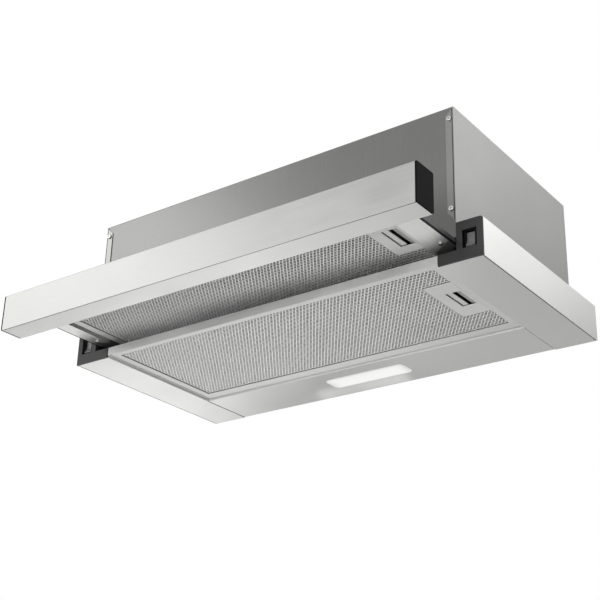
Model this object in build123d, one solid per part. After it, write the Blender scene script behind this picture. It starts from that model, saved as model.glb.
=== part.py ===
from build123d import *
import os
from math import sqrt

# A slide-out range hood in millimetres, +Z up, +Y towards the wall, drawer pulled out.
# Heights start at the underside of the canopy and depths at the front of the canopy caps.
# Each piece is shifted when it is written, so that the origin lies on the top face,
# midway between the four cabinet screws.

# Overall sizes
hood_width = 598.0
hood_depth = 282.0
hood_height = 193.0
canopy_height = 46.0
shoulder = 32.0
strip_width = 55.0

# Sheet metal and fits
sheet = 1.0
fold = 1.2
flange = 10.0
seam = 0.2
open_seam = 0.5
groove = 0.9
groove_deep = 0.8
seat_gap = 0.3
side_gap = 0.6
running = 0.05

# Body panels
body_setback = 1.0
foot_rise = 4.0
flange_groove_deep = 0.5
slot_clear = 1.0
front_hem = 6.0
lip_height = 12.5
screw_radius = 1.5
screw_head = 2.9
screw_head_height = 1.8
screw_length = 8.0
screw_from_foot = 15.0
screw_from_top = 14.0
recess_arm = 1.7
recess_half = 0.35
recess_deep = 1.0
head_round = 0.6

# Canopy caps and switches
cap_plate = 2.0
cap_corner = 3.0
cap_foot = 13.2
cap_plug = 10.0
cap_wall = 1.8
foot_plug = 6.0
foot_plug_width = 16.0
window_width = 17.3
window_height = 21.5
window_side = 7.4
window_bottom = 13.5
rocker_width = 10.5
rocker_height = 17.0
rocker_drop = 0.9
rocker_front = 6.5
rocker_dip = 4.6
rocker_heel = 1.0
rocker_back = 3.0
rocker_tilt = 9.0
rocker_round = 1.0
rocker_depth = 9.0
trunnion_radius = 1.25
trunnion_length = 1.0
switch_depth = 24.0
switch_wall = 1.4
pocket_depth = 12.5
blade_width = 4.8
blade_thick = 0.8
blade_length = 7.0

# Cabinet screws and cable gland in the top panel
mount_from_side = 57.0
mount_from_edge = 56.0
mount_hole = 2.75
gland_x = 150.0
gland_from_back = 32.0
gland_bore = 4.2
gland_neck = 8.0
gland_flange = 11.0
gland_flange_height = 4.0
gland_collar_height = 6.0
gland_below = 8.0

# Light
lens_length = 121.0
lens_width = 31.0
lens_corner = 8.0
lens_from_back = 46.5
lens_proud = 0.8
lens_round = 0.4
lens_lap = 6.0
lens_flange = 1.5
lamp_wall = 1.2
lamp_height = 20.0
board_thick = 1.6
driver_length = 80.0
driver_width = 40.0
driver_height = 24.0
driver_from_lamp = 38.0
driver_corner = 3.0
lead_radius = 2.0
lead_bend = 12.0

# Filters
filter_sheet = 0.8
face_sheet = 0.6
face_lap = 2.0
mesh_thick = 2.5
frame_top_lip = 8.0
filter_bead = 1.5
bead_groove_in = 3.4
bead_groove = 1.6
bead_groove_deep = 0.6
tab_width = 20.0
tab_thick = 1.0
tab_reach = 4.0
tab_inset = 40.0
tab_slot_height = 6.6
fixed_front = 0.5
light_depth = 83.0
fixed_bottom = 2.5
fixed_thick = 10.5
fixed_border_left = 15.0
fixed_border_right = 10.0
fixed_border_front = 8.5
fixed_border_rear = 17.0
fixed_latch_off = 7.75
fixed_latch_in = 13.4
fixed_pocket = 45.0
drawer_filter_in = 8.5
drawer_filter_gap = 1.0
drawer_filter_rise = 0.5
drawer_tab_inset = 20.0
drawer_border_left = 10.0
drawer_border_right = 3.0
drawer_border_front = 6.0
drawer_border_rear = 8.0
drawer_latch_off = 10.85
drawer_latch_in = 4.0
drawer_pocket = 35.0

# Filter latches
latch_opening = 19.0
latch_length = 41.0
latch_bar = 6.0
latch_bar_thick = 1.2
latch_stem = 3.0
latch_stem_half = 6.0
latch_slot = 5.5
latch_ramp_deep = 1.4
latch_ramp_back = 1.9
latch_ramp_lap = 1.5
latch_travel = 6.0
latch_spring_room = 8.0
latch_skin = 1.0
latch_box_margin = 6.5
latch_wall = 1.2
latch_corner = 5.0
latch_round = 0.5
bolt_width = 10.0
bolt_thick = 1.5
leaf_thick = 0.5
leaf_foot = 1.0
leaf_half = 10.0

# Visor drawer
drawer_out = 130.0
drawer_gap = 0.5
visor_depth = 32.0
visor_bottom = 3.8
visor_height = 45.8
visor_inset = 1.0
visor_cap = 2.0
visor_plug = 10.0
visor_plug_wall = 1.5
visor_hem = 3.0
arm_bottom = 21.0
arm_height = 7.0
arm_sheet = 1.2
arm_rear = 95.0
arm_tab_low = 10.0
arm_tab_high = 40.0
ledge_sheet = 1.2
rung_pitch = 5.0
rung_width = 1.6
rung_height = 1.6
glide_thick = 1.5
arm_screw_y = -10.0
arm_screw_back = 60.0
arm_screw_in = 10.0
bar_front = 32.0
bar_depth = 12.0
rail_wall = 1.5
rail_front = 6.0
rail_past_arm = 32.0
rail_lip = 1.3
rail_lower_reach = 5.5
rail_upper_reach = 8.0
switch_box_length = 20.0
switch_box_width = 16.0
plunger_radius = 1.2
plunger_reach = 3.5
plunger_guide = 6.0

# Blower
blower_from_back = 142.0
blower_rise = 4.0
blower_top_clear = 28.0
vane_depth = 5.0
impeller_length = 80.0
impeller_ring = 3.0
hub_disc = 2.0
hub_radius = 9.0
hub_length = 14.0
blade_count = 36
vane_thick = 1.0
scroll_clear = 9.0
scroll_step = 8.0
scroll_wall = 2.0
scroll_gap = 5.0
scroll_eye_lap = 2.0
shaft_radius = 4.0
shaft_past = 4.0
shaft_chamfer = 0.5
motor_in_eye = 8.0
motor_round = 3.0
motor_length = 66.0
motor_from_disc = 9.0
motor_boss = 11.0
motor_boss_length = 5.0
bracket_thick = 3.0
bracket_ring = 4.0
bracket_arm = 12.0
rubber_radius = 4.0
rubber_length = 4.0
rubber_past_eye = 6.0
rubber_count = 3
capacitor_radius = 14.0
capacitor_length = 50.0
capacitor_x = -110.0
capacitor_drop = 32.0
capacitor_round = 1.2

# Outlet collar
collar_radius = 59.5
collar_wall = 2.0
collar_height = 42.0
collar_base = 2.5
collar_base_margin = 6.5
collar_ledge = 3.5
flap_gap = 0.8
flap_thick = 1.2
flap_axis_offset = 2.5
flap_barrel = 1.8
flap_pin = 1.2
flap_pin_reach = 1.2
outlet_lap = 1.5

# Terminal box
terminal_x = 70.0
terminal_width = 60.0
terminal_depth = 30.0
terminal_height = 40.0
terminal_drop = 42.0
terminal_wall = 2.0
terminal_lid = 2.0
motor_lead_rise = 12.0
motor_lead_turn = 14.0
motor_lead_gap = 15.0
lead_from_back = 18.0
lead_second_from_back = 10.0

# Places worked out from the sizes above
half = hood_width / 2
body_half = half - shoulder
throat_half = half - strip_width
panel_half = body_half - sheet
panel_top = hood_height - sheet
panel_front = body_setback + sheet
panel_inner = panel_front + sheet
back_face = hood_depth - sheet
back_inner = back_face - sheet
roof_half = body_half - flange - 2 * sheet
mount_y = hood_depth / 2
mount_spacing_x = 2 * (body_half - mount_from_side)
mount_spacing_y = hood_depth - 2 * mount_from_edge
flange_foot = canopy_height + foot_rise
screw_hole = screw_radius + seam
rail_out = panel_half + rail_wall
window_x = half - window_side - window_width / 2
window_z = window_bottom + window_height / 2
pivot_z = window_z - rocker_drop
fixed_rear = hood_depth - light_depth
light_front = fixed_rear + side_gap
lens_y = hood_depth - lens_from_back
fixed_half = throat_half - side_gap
travel = drawer_out - visor_depth - drawer_gap
visor_front_y = -drawer_out
visor_back_y = visor_front_y + visor_depth
visor_half = half - visor_inset
visor_metal_half = visor_half - visor_cap
glide_outer = panel_half - drawer_gap
arm_outer = glide_outer - glide_thick
arm_inner = throat_half + sheet
arm_top = arm_bottom + arm_height
drawer_filter_front = visor_back_y + drawer_filter_gap
drawer_filter_rear = bar_front - seat_gap
drawer_filter_bottom = arm_bottom + drawer_filter_rise
drawer_filter_thick = arm_top + tab_thick - drawer_filter_bottom
slot_top = arm_top + tab_thick + slot_clear
rail_rear = arm_rear + travel + rail_past_arm
fan_y = hood_depth - blower_from_back
blower_bottom = slot_top + blower_rise
blower_room = panel_top - blower_bottom - scroll_wall - scroll_step - blower_top_clear
scroll_start = blower_room / 2
fan_z = blower_bottom + scroll_wall + scroll_start + 3 * scroll_step / 2
impeller_radius = scroll_start - scroll_clear
impeller_eye = impeller_radius - vane_depth
scroll_eye = impeller_eye - scroll_eye_lap
motor_radius = impeller_eye - motor_in_eye
rubber_circle = scroll_eye + rubber_past_eye
scroll_half = impeller_length / 2 + scroll_gap + scroll_wall
outlet_front = fan_y - scroll_step / 2
outlet_rear = fan_y + scroll_step / 2 + scroll_start + 2 * scroll_step
outlet_y = (outlet_front + outlet_rear) / 2
motor_right = -motor_from_disc
motor_left = motor_right - motor_length
collar_inner = collar_radius - collar_wall
outlet_hole = collar_inner - outlet_lap
collar_floor = hood_height + collar_base
flap_axis_z = collar_floor + seat_gap + flap_barrel
terminal_front = back_inner - terminal_depth
terminal_bottom = panel_top - terminal_drop - terminal_height


def slab(x0, x1, y0, y1, z0, z1):
    block = Box(x1 - x0, y1 - y0, z1 - z0)
    return Pos((x0 + x1) / 2, (y0 + y1) / 2, (z0 + z1) / 2) * block


def rod_x(x0, x1, y, z, radius):
    return Pos((x0 + x1) / 2, y, z) * Rot(0, 90, 0) * Cylinder(radius, x1 - x0)


def rod_y(x, y0, y1, z, radius):
    return Pos(x, (y0 + y1) / 2, z) * Rot(90, 0, 0) * Cylinder(radius, y1 - y0)


def rod_z(x, y, z0, z1, radius):
    return Pos(x, y, (z0 + z1) / 2) * Cylinder(radius, z1 - z0)


def rounded_plate(x, y, z0, z1, length, width, corner):
    outline = RectangleRounded(length, width, corner)
    return Pos(x, y, z0) * extrude(outline, z1 - z0)


def mirrored(solid):
    return mirror(solid, about=Plane.YZ)


# Rounds the edges along one axis that pass through the stated place.
def round_edges(solid, axis, radius, **place):
    picked = []
    for edge in solid.edges().filter_by(axis):
        middle = edge.center()
        offsets = [abs(getattr(middle, name) - value) for name, value in place.items()]
        if max(offsets) < 0.01:
            picked.append(edge)
    return fillet(picked, radius)


def save(name, *pieces):
    solids = [solid for piece in pieces for solid in piece.solids()]
    placed = [Pos(0, -mount_y, -hood_height) * solid for solid in solids]
    whole = placed[0] if len(placed) == 1 else Compound(children=placed)
    export_step(whole, f"parts/{name}.step")


# Body panels

def screw_places():
    x = body_half - flange / 2
    heights = (flange_foot + screw_from_foot, panel_top - screw_from_top)
    return [(side * x, z) for side in (-1, 1) for z in heights]


def screw_holes():
    return [rod_y(x, 0, panel_inner + sheet, z, screw_hole) for x, z in screw_places()]


def side_panel():
    inner = body_half - flange
    web = slab(panel_half, body_half, body_setback, hood_depth, canopy_height, panel_top)
    outline = Polyline(
        (body_half, flange_foot),
        (inner, flange_foot + flange),
        (inner, panel_top - flange),
        (body_half, panel_top),
        close=True,
    )
    front = Pos(0, panel_front, 0) * extrude(Plane.XZ * make_face(outline), sheet)
    rear = slab(inner, body_half, back_face, hood_depth, flange_foot, panel_top)
    roof = slab(inner, panel_half, panel_inner + sheet, back_inner - sheet, panel_top - sheet, panel_top)
    edge = body_half - sheet
    deep = body_setback + flange_groove_deep
    line = slab(edge - groove, edge, body_setback, deep, flange_foot, panel_top)
    return web + front + rear + roof - line - screw_holes()


def front_panel():
    skin = slab(-panel_half, panel_half, panel_front, panel_inner, slot_top, panel_top)
    roof = slab(-roof_half, roof_half, panel_inner, panel_inner + flange, panel_top - sheet, panel_top)
    hem = slab(-throat_half, throat_half, panel_inner, panel_inner + front_hem, slot_top, slot_top + sheet)
    return skin + roof + hem - screw_holes()


def back_panel():
    skin = slab(-panel_half, panel_half, back_inner, back_face, sheet, panel_top)
    roof = slab(-roof_half, roof_half, back_inner - flange, back_inner, panel_top - sheet, panel_top)
    return skin + roof


def top_panel():
    plate = slab(-body_half, body_half, panel_front, hood_depth, panel_top, hood_height)
    plate -= rod_z(0, outlet_y, panel_top, hood_height, outlet_hole)
    plate -= rod_z(gland_x, hood_depth - gland_from_back, panel_top, hood_height, gland_neck + seam)
    for x in (-mount_spacing_x / 2, mount_spacing_x / 2):
        for y in (-mount_spacing_y / 2, mount_spacing_y / 2):
            plate -= rod_z(x, mount_y + y, panel_top, hood_height, mount_hole)
    return plate


def panel_screw(x, z):
    front = body_setback - screw_head_height
    head = rod_y(x, front, body_setback, z, screw_head)
    head = fillet(head.edges().group_by(Axis.Y)[0], head_round)
    deep = front + recess_deep
    recess = slab(x - recess_arm, x + recess_arm, front, deep, z - recess_half, z + recess_half)
    recess += slab(x - recess_half, x + recess_half, front, deep, z - recess_arm, z + recess_arm)
    return head + rod_y(x, body_setback, body_setback + screw_length, z, screw_radius) - recess


# Canopy

def side_trim():
    band = slab(half - sheet, half, cap_plate, hood_depth, 0, canopy_height)
    strip = slab(throat_half, half, cap_plate, hood_depth, 0, sheet)
    roof = slab(rail_out, half, cap_plate, hood_depth, canopy_height - sheet, canopy_height)
    rear = slab(rail_out, half, back_face, hood_depth, 0, canopy_height)
    lip = slab(throat_half, throat_half + sheet, cap_plate, back_inner - sheet, 0, lip_height)
    trim = band + strip + roof + rear + lip
    trim = round_edges(trim, Axis.Y, fold, X=half, Z=canopy_height)
    return trim - slab(half - sheet - groove, half - sheet, cap_plate, hood_depth, 0, groove_deep)


def tab_places():
    return (fixed_front + tab_inset, fixed_rear - tab_inset)


def left_trim():
    trim = mirrored(side_trim())
    low = fixed_bottom + filter_bead - tab_thick / 2 - seat_gap
    for y in tab_places():
        reach = tab_width / 2 + side_gap
        x = -throat_half
        trim -= slab(x - sheet, x, y - reach, y + reach, low, low + tab_slot_height)
    return trim


def front_cap():
    plate = slab(body_half, half, 0, cap_plate, 0, canopy_height)
    plate = round_edges(plate, Axis.Y, cap_corner, X=half, Z=canopy_height)
    foot = slab(throat_half, body_half, 0, cap_plate, 0, cap_foot)
    left = rail_out + drawer_gap
    right = half - sheet - drawer_gap
    low = sheet + drawer_gap
    high = canopy_height - sheet - drawer_gap
    back = cap_plate + cap_plug
    plug = slab(left, right, cap_plate, back, low, high)
    plug -= slab(left + cap_wall, right - cap_wall, cap_plate, back, low + cap_wall, high - cap_wall)
    start = throat_half + sheet + drawer_gap
    key = slab(start, start + foot_plug_width, cap_plate, cap_plate + foot_plug, low, cap_foot - sheet)
    window = slab(
        window_x - window_width / 2,
        window_x + window_width / 2,
        0,
        cap_plate,
        window_bottom,
        window_bottom + window_height,
    )
    return plate + foot + plug + key - window


def rocker():
    top = rocker_height / 2
    dished = ThreePointArc((-rocker_front, top), (-rocker_dip, 0), (-rocker_front, -top))
    behind = Polyline(
        (-rocker_front, -top),
        (-rocker_heel, -top),
        (rocker_back, -rocker_back),
        (rocker_back, rocker_back),
        (-rocker_heel, top),
        (-rocker_front, top),
    )
    outline = make_face([dished, behind])
    body = extrude(Plane.YZ * outline, rocker_width / 2, both=True)
    body = fillet(body.edges().filter_by(Axis.X).sort_by(Axis.Y)[0:2], rocker_round)
    reach = rocker_width / 2 + trunnion_length
    body += rod_x(-reach, reach, 0, 0, trunnion_radius)
    return Pos(window_x, rocker_depth, pivot_z) * Rot(-rocker_tilt, 0, 0) * body


def switch_body():
    inner = rocker_width / 2 + seat_gap
    tall = rocker_height / 2 + switch_wall
    outer = inner + switch_wall
    back = cap_plate + switch_depth
    x = window_x
    shell = tall + switch_wall
    body = slab(x - outer, x + outer, cap_plate, back, pivot_z - shell, pivot_z + shell)
    body -= slab(x - inner, x + inner, cap_plate, cap_plate + pocket_depth, pivot_z - tall, pivot_z + tall)
    reach = rocker_width / 2 + trunnion_length + running
    body -= rod_x(x - reach, x + reach, rocker_depth, pivot_z, trunnion_radius + running)
    for z in (pivot_z - tall / 2, pivot_z + tall / 2):
        side = blade_thick / 2
        body += slab(x - side, x + side, back, back + blade_length, z - blade_width / 2, z + blade_width / 2)
    return body


# Light

def light_panel():
    side = throat_half - open_seam
    plate = slab(-side, side, light_front, back_inner, 0, sheet)
    plate += slab(-side, side, light_front, light_front + sheet, sheet, lip_height)
    plate += slab(-side, side, back_inner - sheet, back_inner, sheet, lip_height)
    return plate - rounded_plate(0, lens_y, 0, sheet, lens_length, lens_width, lens_corner)


def light_lens():
    length = lens_length - 2 * seam
    width = lens_width - 2 * seam
    window = rounded_plate(0, lens_y, -lens_proud, sheet, length, width, lens_corner - seam)
    window = fillet(window.faces().sort_by(Axis.Z)[0].edges(), lens_round)
    lap = 2 * lens_lap
    rim = rounded_plate(0, lens_y, sheet, sheet + lens_flange, length + lap, width + lap, lens_corner)
    return window + rim


def lamp_reach():
    x = lens_length / 2 + lens_lap + side_gap + lamp_wall
    y = lens_width / 2 + lens_lap + side_gap + lamp_wall
    return x, y


def lamp_housing():
    x, y = lamp_reach()
    roof = sheet + lamp_height
    box = slab(-x, x, lens_y - y, lens_y + y, sheet, roof)
    x -= lamp_wall
    y -= lamp_wall
    return box - slab(-x, x, lens_y - y, lens_y + y, sheet, roof - lamp_wall)


def led_board():
    high = sheet + lamp_height - lamp_wall
    x = lens_length / 2
    y = lens_width / 2
    return slab(-x, x, lens_y - y, lens_y + y, high - board_thick, high)


def driver_right():
    return -lamp_reach()[0] - driver_from_lamp


def led_driver():
    right = driver_right()
    side = driver_width / 2
    box = slab(right - driver_length, right, lens_y - side, lens_y + side, sheet, sheet + driver_height)
    return fillet(box.edges().filter_by(Axis.Z), driver_corner)


def lamp_lead():
    return rod_x(driver_right(), -lamp_reach()[0], lens_y, sheet + lamp_height / 2, lead_radius)


# Filters: a folded frame round a perforated face, a mesh pack and a sprung latch.
# Each has its corners, its border widths and the place of its latch.

class Filter:
    def __init__(self, left, right, front, rear, bottom, thick):
        self.left = left
        self.right = right
        self.front = front
        self.rear = rear
        self.bottom = bottom
        self.top = bottom + thick

    def borders(self, left, right, front, rear):
        self.field_left = self.left + left
        self.field_right = self.right - right
        self.field_front = self.front + front
        self.field_rear = self.rear - rear

    def latch(self, inset, off, pocket):
        self.latch_y = (self.front + self.rear) / 2 - off
        self.latch_right = self.right - inset
        self.latch_left = self.latch_right - latch_opening
        self.pocket_left = self.latch_left - latch_travel - latch_spring_room
        self.pocket_front = self.latch_y - pocket
        self.pocket_rear = self.latch_y + pocket
        self.box_half = latch_length / 2 + latch_box_margin
        self.box_right = self.right - filter_sheet
        self.bolt_top = self.top - filter_sheet - seat_gap - latch_wall - seat_gap
        self.bolt_low = self.bolt_top - bolt_thick

    def block(self, inset, low, high):
        return slab(self.left + inset, self.right - inset, self.front + inset, self.rear - inset, low, high)

    def field(self, grow, low, high):
        return slab(
            self.field_left - grow,
            self.field_right + grow,
            self.field_front - grow,
            self.field_rear + grow,
            low,
            high,
        )

    def latch_room(self, low, high):
        return slab(
            self.pocket_left - seat_gap,
            self.right,
            self.pocket_front - seat_gap,
            self.pocket_rear + seat_gap,
            low,
            high,
        )

    def bolt(self, grow, left, right):
        reach = bolt_width / 2 + grow
        y = self.latch_y
        return slab(left, right, y - reach, y + reach, self.bolt_low - grow, self.bolt_top + grow)

    def frame(self):
        skin = self.bottom + filter_sheet
        ring = self.block(0, self.bottom, self.top) - self.block(filter_sheet, skin, self.top)
        ring -= self.field(0, self.bottom, skin)
        lip = self.block(filter_sheet, self.top - filter_sheet, self.top)
        ring += lip - self.block(frame_top_lip, self.top - filter_sheet, self.top)
        return ring - self.bolt(seat_gap, self.right - filter_sheet, self.right)

    def face(self):
        low = self.bottom + filter_sheet
        return self.field(face_lap, low, low + face_sheet) - self.latch_room(low, low + face_sheet)

    def mesh(self):
        low = self.bottom + filter_sheet + face_sheet
        return self.field(face_lap, low, low + mesh_thick) - self.latch_room(low, low + mesh_thick)

    def latch_levels(self):
        low = self.bottom + seat_gap / 2
        return low, low + latch_skin, self.top - filter_sheet - seat_gap

    def latch_skin_block(self):
        low, skin, high = self.latch_levels()
        edge = self.field_right - seat_gap
        return slab(self.pocket_left, edge, self.pocket_front, self.pocket_rear, low, skin)

    def latch_plate(self):
        low, skin, high = self.latch_levels()
        y = self.latch_y
        reach = latch_length / 2
        plate = self.latch_skin_block()
        plate = round_edges(plate, Axis.Z, latch_corner, X=self.pocket_left, Y=self.pocket_rear)
        plate -= slab(self.latch_left, self.latch_right, y - reach, y + reach, low, skin)
        start = self.latch_left + seat_gap + latch_bar + latch_slot
        outline = Polyline(
            (self.latch_right, low),
            (start, skin + latch_ramp_deep),
            (start, skin + latch_ramp_back),
            (self.latch_right + latch_ramp_lap, skin + latch_ramp_back),
            (self.latch_right + latch_ramp_lap, skin),
            (self.latch_right, skin),
            close=True,
        )
        ramp = extrude(Plane.XZ * make_face(outline), reach, both=True)
        return plate + Pos(0, y, 0) * ramp

    def latch_housing(self):
        low, skin, high = self.latch_levels()
        y = self.latch_y
        left = self.pocket_left + latch_wall
        right = self.box_right
        lower = self.bottom + filter_sheet
        box = slab(left, right, y - self.box_half, y + self.box_half, lower, high)
        inner = self.box_half - latch_wall
        left += latch_wall
        right -= latch_wall
        hollow = slab(left, right, y - inner, y + inner, lower, high - latch_wall)
        return box - hollow - self.latch_skin_block() - self.bolt(seat_gap, right, self.right)

    def slider(self, tip):
        low, skin, high = self.latch_levels()
        y = self.latch_y
        reach = latch_length / 2 - seat_gap
        foot = skin + seat_gap
        left = self.latch_left + seat_gap
        bar = slab(left, left + latch_bar, y - reach, y + reach, foot, foot + latch_bar_thick)
        bar = round_edges(bar, Axis.Y, latch_round, X=left + latch_bar, Z=foot)
        half_stem = latch_stem_half
        bar += slab(left, left + latch_stem, y - half_stem, y + half_stem, foot, self.bolt_top)
        return bar + self.bolt(0, left, tip)

    def leaf(self):
        wall = self.pocket_left + 2 * latch_wall
        tip = self.latch_left
        y = self.latch_y
        outline = Polyline(
            (wall, y - leaf_half),
            (tip - leaf_thick, y - leaf_thick),
            (tip, y - leaf_thick),
            (tip, y + leaf_thick),
            (tip - leaf_thick, y + leaf_thick),
            (wall, y + leaf_half),
            (wall, y + leaf_half - leaf_foot),
            (tip - leaf_thick - leaf_foot, y),
            (wall, y - leaf_half + leaf_foot),
            close=True,
        )
        return Pos(0, 0, self.bolt_low) * extrude(make_face(outline), bolt_thick)


fixed = Filter(-fixed_half, fixed_half, fixed_front, fixed_rear, fixed_bottom, fixed_thick)
fixed.borders(fixed_border_left, fixed_border_right, fixed_border_front, fixed_border_rear)
fixed.latch(fixed_latch_in, fixed_latch_off, fixed_pocket)

drawn_half = arm_inner - drawer_filter_in
drawn = Filter(
    -drawn_half,
    drawn_half,
    drawer_filter_front,
    drawer_filter_rear,
    drawer_filter_bottom,
    drawer_filter_thick,
)
drawn.borders(drawer_border_left, drawer_border_right, drawer_border_front, drawer_border_rear)
drawn.latch(drawer_latch_in, drawer_latch_off, drawer_pocket)


def fixed_frame():
    frame = fixed.frame()
    frame = round_edges(frame, Axis.Y, filter_bead, X=fixed.left, Z=fixed.bottom)
    start = fixed.left + bead_groove_in
    deep = fixed.bottom + bead_groove_deep
    frame -= slab(start, start + bead_groove, fixed.front, fixed.rear, fixed.bottom, deep)
    middle = fixed.bottom + filter_bead
    low = middle - tab_thick / 2
    for y in tab_places():
        frame += slab(
            fixed.left - tab_reach,
            fixed.left + filter_sheet,
            y - tab_width / 2,
            y + tab_width / 2,
            low,
            low + tab_thick,
        )
    return frame


def drawn_frame():
    frame = drawn.frame()
    reach = arm_inner - seat_gap
    for y in (drawn.front + drawer_tab_inset, drawn.rear - drawer_tab_inset):
        frame += slab(
            -reach,
            drawn.left + filter_sheet,
            y - tab_width / 2,
            y + tab_width / 2,
            arm_top,
            arm_top + tab_thick,
        )
    return frame


# Visor drawer

def visor_front():
    top = visor_bottom + visor_height
    x = visor_metal_half
    skin = slab(-x, x, visor_front_y, visor_front_y + sheet, visor_bottom, top)
    lower = slab(-x, x, visor_front_y, visor_back_y, visor_bottom, visor_bottom + sheet)
    upper = slab(-x, x, visor_front_y, visor_back_y, top - sheet, top)
    low_hem = slab(-x, x, visor_back_y - sheet, visor_back_y, visor_bottom, visor_bottom + visor_hem)
    top_hem = slab(-x, x, visor_back_y - sheet, visor_back_y, top - visor_hem, top)
    shell = skin + lower + upper + low_hem + top_hem
    shell = round_edges(shell, Axis.X, fold, Y=visor_front_y, Z=top)
    start = visor_front_y + sheet
    return shell - slab(-x, x, start, start + groove, visor_bottom, visor_bottom + groove_deep)


def visor_end_cap():
    top = visor_bottom + visor_height
    plate = slab(visor_metal_half, visor_half, visor_front_y, visor_back_y, visor_bottom, top)
    plate = fillet(plate.edges().filter_by(Axis.X), fold)
    inset = sheet + seat_gap
    front = visor_front_y + inset
    back = visor_back_y - inset
    low = visor_bottom + inset
    high = top - inset
    start = visor_metal_half - visor_plug
    wall = visor_plug_wall
    plug = slab(start, visor_metal_half, front, back, low, high)
    plug -= slab(start, visor_metal_half, front + wall, back - wall, low + wall, high - wall)
    return plate + plug


def arm():
    front = visor_front_y + sheet
    web = arm_bottom + arm_sheet
    plate = slab(arm_inner, arm_outer, front, arm_rear, arm_bottom, web)
    outer = slab(arm_outer - arm_sheet, arm_outer, front, arm_rear, web, arm_top)
    inner = slab(arm_inner, arm_inner + arm_sheet, front, arm_rear, web, arm_top)
    tab = slab(arm_inner, arm_outer, front, front + arm_sheet, arm_tab_low, arm_tab_high)
    rear = slab(arm_inner, arm_outer, arm_rear - arm_sheet, arm_rear, arm_bottom, arm_top)
    body = plate + outer + inner + tab + rear
    for y in (arm_screw_y, arm_screw_back):
        body -= rod_z(arm_outer - arm_screw_in, y, arm_bottom, web, screw_hole)
    return body


def right_arm():
    start = drawn.right + drawer_gap
    return arm() + slab(start, arm_inner, drawn.front, drawn.rear, arm_bottom, arm_bottom + arm_sheet)


def left_arm():
    edge = drawn.left - drawer_gap
    low = arm_top - ledge_sheet
    body = mirrored(arm()) + slab(-arm_inner, edge, drawn.front, drawn.rear, low, arm_top)
    count = int((drawn.rear - drawn.front) / rung_pitch)
    for number in range(count):
        y = drawn.front + (number + 0.5) * rung_pitch
        body += slab(-arm_inner, edge, y, y + rung_width, low - rung_height, low)
    return body


def glide():
    return slab(arm_outer, glide_outer, visor_back_y, arm_rear, arm_bottom, arm_top)


def arm_screw(side, y):
    x = side * (arm_outer - arm_screw_in)
    head = rod_z(x, y, arm_bottom - screw_head_height, arm_bottom, screw_head)
    head = fillet(head.edges().group_by(Axis.Z)[0], head_round)
    return head + rod_z(x, y, arm_bottom, arm_top - sheet, screw_radius)


def rear_bar():
    low = drawn.bottom
    high = arm_top
    wall = arm_sheet
    back = bar_front + bar_depth
    bar = slab(-arm_inner, arm_inner, bar_front, back, low, high)
    return bar - slab(-arm_inner, arm_inner, bar_front + wall, back - wall, low, high - wall)


def guide_rail():
    wall = slab(panel_half, rail_out, rail_front, rail_rear, sheet, canopy_height)
    low = arm_bottom - seat_gap
    high = arm_top + seat_gap
    lower = slab(panel_half - rail_lower_reach, panel_half, rail_front, rail_rear, low - rail_lip, low)
    upper = slab(panel_half - rail_upper_reach, panel_half, rail_front, rail_rear, high, high + rail_lip)
    return wall + lower + upper


def plunger_place():
    return panel_half - switch_box_width / 2, arm_rear + travel + seat_gap, (arm_bottom + arm_top) / 2


def microswitch():
    x, tip, z = plunger_place()
    front = tip + plunger_reach
    low = arm_bottom - seat_gap
    box = slab(panel_half - switch_box_width, panel_half, front, front + switch_box_length, low, arm_top)
    return box - rod_y(x, front, front + plunger_guide, z, plunger_radius + running)


def plunger():
    x, tip, z = plunger_place()
    pin = rod_y(x, tip, tip + plunger_reach + plunger_guide / 2, z, plunger_radius)
    return fillet(pin.edges().group_by(Axis.Y)[0], plunger_radius / 2)


# Blower: quarter arcs whose centres step round a small square, then a straight outlet.

def scroll_outline(grow):
    step = scroll_step / 2
    near = scroll_start + grow
    middle = near + scroll_step
    far = middle + scroll_step
    front = outlet_front - grow
    rear = outlet_rear + grow
    start = fan_z - step + sqrt(near * near - grow * grow)
    first = ThreePointArc(
        (front, start),
        (fan_y - step - near * sqrt(0.5), fan_z - step + near * sqrt(0.5)),
        (fan_y - step - near, fan_z - step),
    )
    second = CenterArc((fan_y + step, fan_z - step), middle, 180, 90)
    third = CenterArc((fan_y + step, fan_z + step), far, 270, 90)
    outlet = Polyline((rear, fan_z + step), (rear, panel_top), (front, panel_top), (front, start))
    return make_face([first, second, third, outlet])


def scroll():
    shell = extrude(Plane.YZ * scroll_outline(scroll_wall), scroll_half)
    shell -= extrude(Plane.YZ * scroll_outline(0), scroll_half - scroll_wall)
    return shell - rod_x(0, scroll_half, fan_y, fan_z, scroll_eye)


def impeller():
    end = impeller_length / 2
    drum = rod_x(-hub_disc / 2, hub_disc / 2, 0, 0, impeller_radius)
    drum += rod_x(-hub_disc / 2, hub_length - hub_disc / 2, 0, 0, hub_radius)
    for x in (-end, end - impeller_ring):
        ring = rod_x(x, x + impeller_ring, 0, 0, impeller_radius)
        drum += ring - rod_x(x, x + impeller_ring, 0, 0, impeller_eye)
    vane = slab(-end, end, -vane_thick / 2, vane_thick / 2, impeller_eye, impeller_radius - seat_gap)
    drum += [Rot(360 * turn / blade_count, 0, 0) * vane for turn in range(blade_count)]
    drum -= rod_x(-hub_disc, hub_length, 0, 0, shaft_radius + running / 2)
    return Pos(0, fan_y, fan_z) * drum


def rotor_shaft():
    left = motor_left - motor_boss_length - shaft_past
    shaft = rod_x(left, hub_length - hub_disc / 2 + shaft_past, fan_y, fan_z, shaft_radius)
    return chamfer(shaft.edges().filter_by(GeomType.CIRCLE), shaft_chamfer)


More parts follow.
